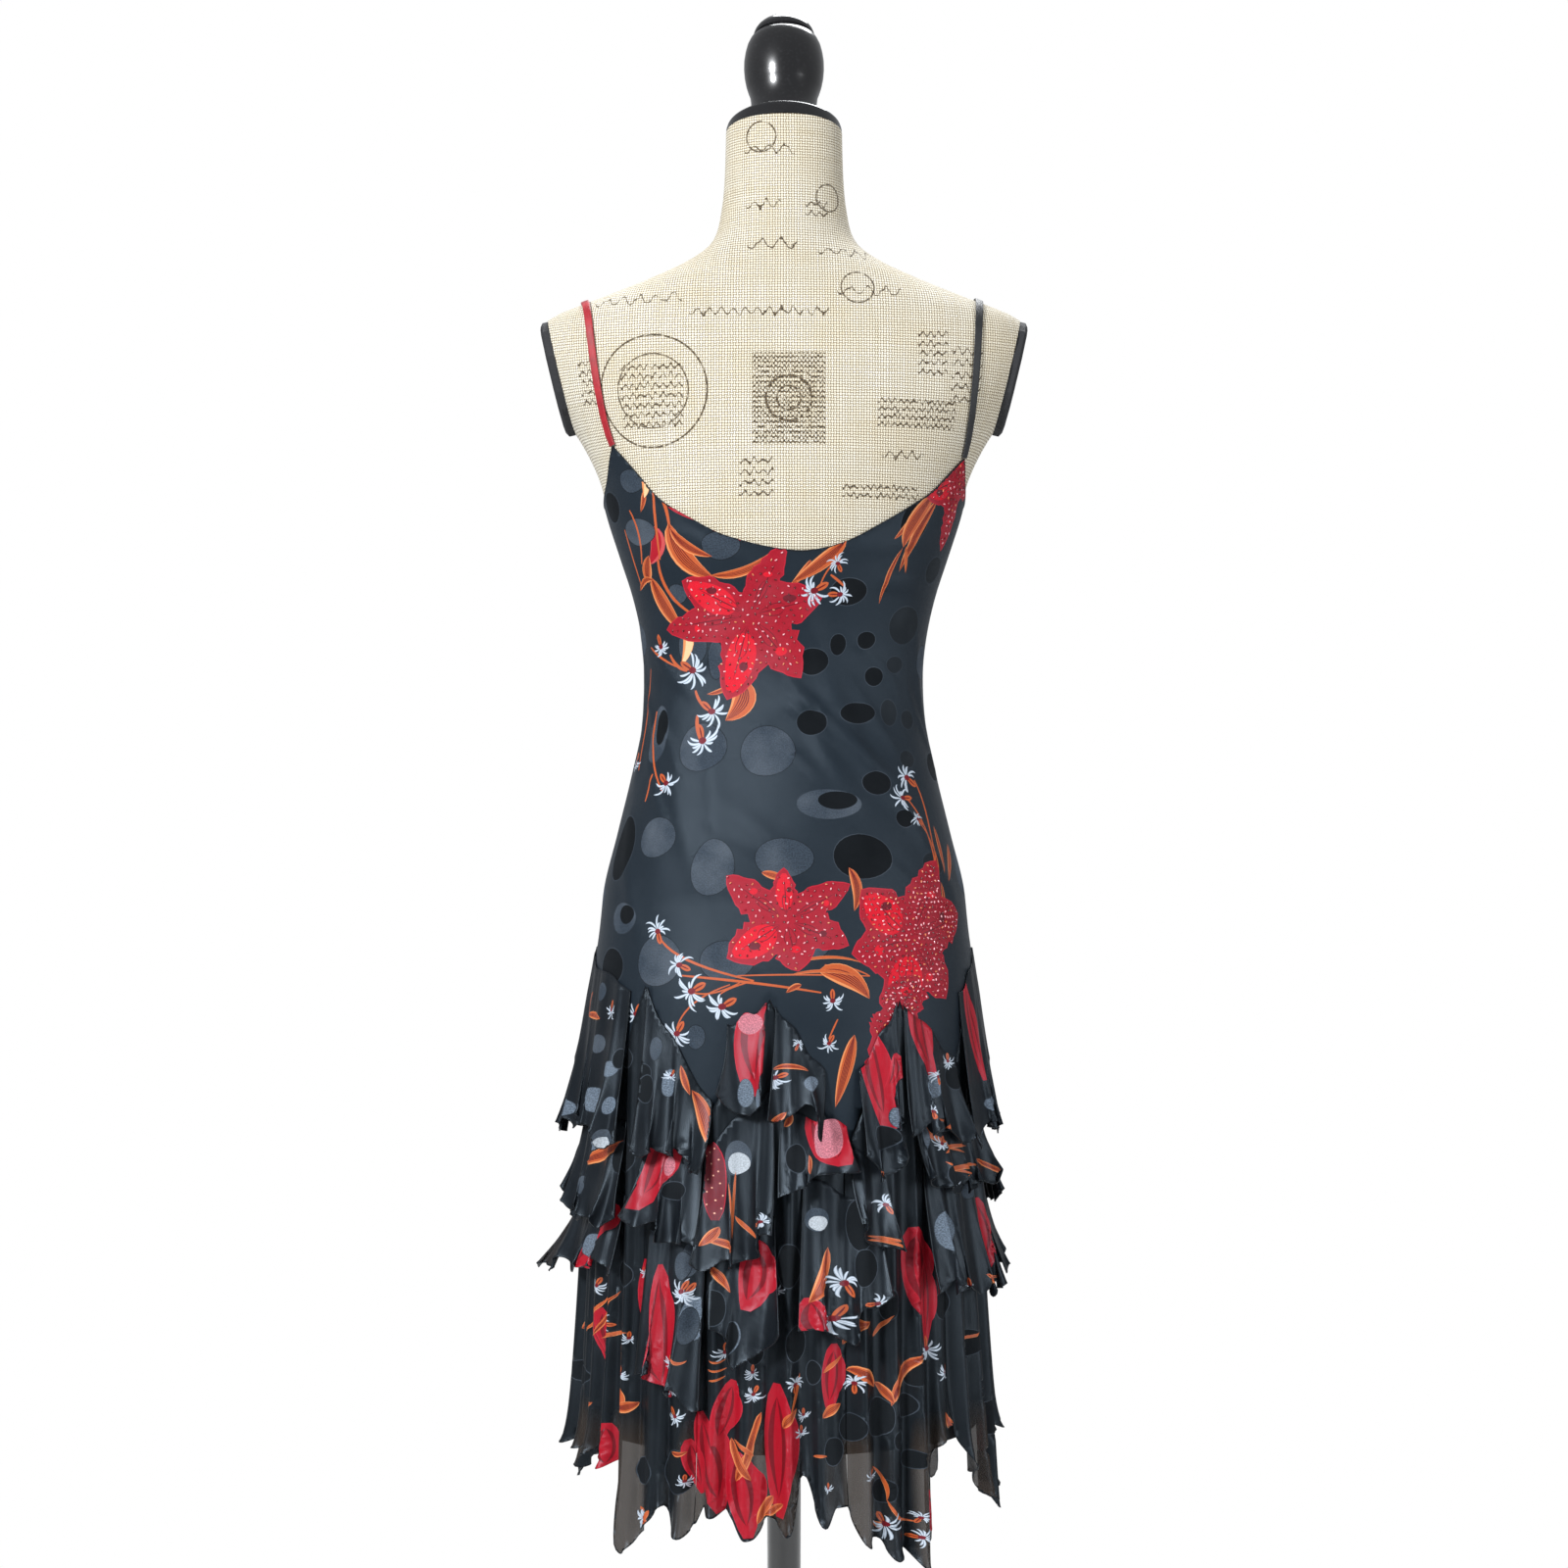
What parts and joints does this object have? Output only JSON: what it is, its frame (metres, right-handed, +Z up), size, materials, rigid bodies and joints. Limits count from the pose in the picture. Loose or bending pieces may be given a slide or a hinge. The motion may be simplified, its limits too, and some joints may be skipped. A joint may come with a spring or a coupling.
{
  "type": "slip dress on a dress form",
  "caption": "Sleeveless bias-cut slip dress with a scooped back, narrow straps, godets and tiered flounces, worn by a limbless dress form on a pole and round base.",
  "frame": {"origin": "middle of the round base's underside, on the floor", "axes": "+Z up along the pole, +Y towards the front of the dress, +X to the right when its back is looked at"},
  "size_m": [0.436, 0.436, 1.703],
  "materials": {
    "satin": "black slate-tinted bias satin with woven velvet and dull dots, printed red lilies, orange leaves and small white flowers",
    "red_satin": "red satin strap",
    "chiffon": "sheer black printed chiffon with velvet dots",
    "lining": "plain black lining",
    "linen": "natural coarse plain-woven jute cloth, stretched over the form",
    "trim": "black covered arm plates",
    "lacquered_wood": "turned wood in black satin lacquer"
  },
  "bodies": {
    "root": {"torso": "linen", "arm_plate_left": "trim", "arm_plate_right": "trim", "neck_cap": "lacquered_wood", "finial": "lacquered_wood", "pole": "lacquered_wood", "base": "lacquered_wood", "back_body": "satin", "front_body": "satin", "strap_left": "red_satin", "strap_right": "satin", "lining": "lining", "back_godet_1": "chiffon", "back_godet_2": "chiffon", "back_godet_3": "chiffon", "back_godet_4": "chiffon", "back_godet_5": "chiffon", "back_upper_1_flounce": "chiffon", "back_upper_2_flounce": "chiffon", "back_upper_3_flounce": "chiffon", "back_upper_4_flounce": "chiffon", "back_upper_5_flounce": "chiffon", "back_upper_6_flounce": "chiffon", "back_upper_7_flounce": "chiffon", "back_middle_1_flounce": "chiffon", "back_middle_2_flounce": "chiffon", "back_middle_3_flounce": "chiffon", "back_middle_4_flounce": "chiffon", "back_middle_5_flounce": "chiffon", "back_middle_6_flounce": "chiffon", "back_lower_1_flounce": "chiffon", "back_lower_2_flounce": "chiffon", "back_lower_3_flounce": "chiffon", "back_lower_4_flounce": "chiffon", "back_lower_5_flounce": "chiffon", "front_godet_1": "chiffon", "front_godet_2": "chiffon", "front_godet_3": "chiffon", "front_godet_4": "chiffon", "front_godet_5": "chiffon", "front_upper_1_flounce": "chiffon", "front_upper_2_flounce": "chiffon", "front_upper_3_flounce": "chiffon", "front_upper_4_flounce": "chiffon", "front_upper_5_flounce": "chiffon", "front_upper_6_flounce": "chiffon", "front_upper_7_flounce": "chiffon", "front_middle_1_flounce": "chiffon", "front_middle_2_flounce": "chiffon", "front_middle_3_flounce": "chiffon", "front_middle_4_flounce": "chiffon", "front_middle_5_flounce": "chiffon", "front_middle_6_flounce": "chiffon", "front_lower_1_flounce": "chiffon", "front_lower_2_flounce": "chiffon", "front_lower_3_flounce": "chiffon", "front_lower_4_flounce": "chiffon", "front_lower_5_flounce": "chiffon"}
  },
  "joints": []
}
